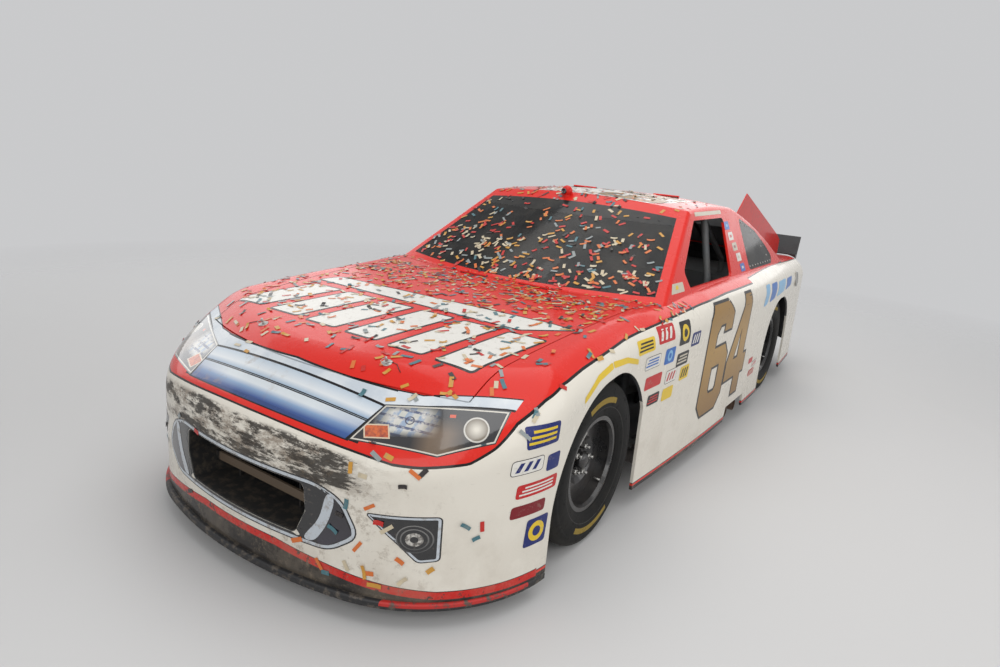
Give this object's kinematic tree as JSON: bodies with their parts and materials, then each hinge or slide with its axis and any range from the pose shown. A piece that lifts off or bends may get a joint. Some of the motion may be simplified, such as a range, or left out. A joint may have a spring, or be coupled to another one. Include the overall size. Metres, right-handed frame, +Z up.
{
  "type": "stock racing car",
  "caption": "Closed-body stock racing car with opening hood, deck lid and roof flaps, steered front wheels, spoiler, roll cage and single seat.",
  "frame": {"origin": "on the floor, under the centre of the bounding box", "axes": "+X the car's left side, +Y its tail (the nose points to -Y), +Z up"},
  "size_m": [1.9343, 5.0698, 1.4299],
  "materials": {
    "paint_red": "gloss bright red paint",
    "paint_white": "gloss off-white paint, scuffed at the front",
    "grille_print": "printed film, silver-white fading to blue",
    "lamp_print": "printed film, black with silver and amber",
    "black_plastic": "satin black",
    "tinted_glass": "dark tinted pane",
    "clear_plastic": "clear sheet",
    "frame_grey": "satin grey paint",
    "black_steel": "satin black paint",
    "engine_metal": "bare cast metal",
    "bare_steel": "heat-tinted steel",
    "wheel_black": "gloss black steel wheel",
    "tyre": "slick rubber, no lettering",
    "black_fabric": "padded cloth",
    "black_rubber": "grip"
  },
  "bodies": {
    "body": {"nose": "paint_white", "upper_grille": "grille_print", "headlamps": "lamp_print", "splitter": "black_plastic", "cowl": "paint_red", "fender_left": "paint_white", "fender_right": "paint_white", "door_left": "paint_white", "door_right": "paint_white", "quarter_left": "paint_white", "quarter_right": "paint_white", "tail": "paint_white", "roof": "paint_red", "windshield": "tinted_glass", "rear_window": "tinted_glass", "side_windows": "tinted_glass", "roof_fin": "clear_plastic", "roof_camera": "paint_red", "lower_grille": "black_plastic", "frame_rails": "frame_grey", "cross_members": "frame_grey", "exhaust": "bare_steel", "floor_pan": "frame_grey", "roll_cage": "frame_grey", "seat": "black_fabric", "dashboard": "black_plastic", "engine": "engine_metal", "radiator": "engine_metal", "fuel_cell": "black_plastic", "front_suspension": "black_steel", "rear_axle": "black_steel", "rear_suspension": "black_steel", "driveshaft": "black_steel"},
    "hood": {"hood": "paint_red"},
    "decklid": {"decklid": "paint_red", "spoiler": "black_plastic"},
    "roof_flap_left": {"roof_flap_left": "paint_red"},
    "roof_flap_right": {"roof_flap_right": "paint_red"},
    "steering_wheel": {"steering_wheel": "black_rubber"},
    "knuckle_left": {"knuckle_left": "black_steel"},
    "knuckle_right": {"knuckle_right": "black_steel"},
    "wheel_front_left": {"tyre_front_left": "tyre", "rim_front_left": "wheel_black"},
    "wheel_front_right": {"tyre_front_right": "tyre", "rim_front_right": "wheel_black"},
    "wheel_rear_left": {"tyre_rear_left": "tyre", "rim_rear_left": "wheel_black"},
    "wheel_rear_right": {"tyre_rear_right": "tyre", "rim_rear_right": "wheel_black"}
  },
  "joints": [
    {"name": "hood_hinge", "type": "hinge", "parent": "body", "child": "hood", "pos_m": [0, -0.908, 0.91769], "axis": [-1, 0, 0], "range_deg": [0, 50]},
    {"name": "decklid_hinge", "type": "hinge", "parent": "body", "child": "decklid", "pos_m": [0, 1.83, 0.9403], "axis": [1, 0, 0], "range_deg": [0, 60]},
    {"name": "roof_flap_hinge_left", "type": "hinge", "parent": "body", "child": "roof_flap_left", "pos_m": [0.295, 0.47, 1.37921], "axis": [1, 0, 0], "range_deg": [0, 60]},
    {"name": "roof_flap_hinge_right", "type": "hinge", "parent": "body", "child": "roof_flap_right", "pos_m": [-0.295, 0.47, 1.37921], "axis": [1, 0, 0], "range_deg": [0, 60]},
    {"name": "steering", "type": "hinge", "parent": "body", "child": "steering_wheel", "pos_m": [0.34, -0.3, 0.8], "axis": [0, 0.9511, 0.309], "range_deg": [-200, 200]},
    {"name": "steer_left", "type": "hinge", "parent": "body", "child": "knuckle_left", "pos_m": [0.63, -1.46, 0.352], "axis": [0, 0, 1], "range_deg": [-18, 18]},
    {"name": "steer_right", "type": "hinge", "parent": "body", "child": "knuckle_right", "pos_m": [-0.63, -1.46, 0.352], "axis": [0, 0, 1], "range_deg": [-18, 18]},
    {"name": "wheel_spin_front_left", "type": "hinge", "parent": "knuckle_left", "child": "wheel_front_left", "pos_m": [0.758, -1.46, 0.352], "axis": [1, 0, 0], "continuous": true},
    {"name": "wheel_spin_front_right", "type": "hinge", "parent": "knuckle_right", "child": "wheel_front_right", "pos_m": [-0.758, -1.46, 0.352], "axis": [1, 0, 0], "continuous": true},
    {"name": "wheel_spin_rear_left", "type": "hinge", "parent": "body", "child": "wheel_rear_left", "pos_m": [0.758, 1.334, 0.352], "axis": [1, 0, 0], "continuous": true},
    {"name": "wheel_spin_rear_right", "type": "hinge", "parent": "body", "child": "wheel_rear_right", "pos_m": [-0.758, 1.334, 0.352], "axis": [1, 0, 0], "continuous": true}
  ],
  "couplings": [
    {"joint": "steer_right", "follows": "steer_left", "ratio": 1},
    {"joint": "steering", "follows": "steer_left", "ratio": 11}
  ]
}
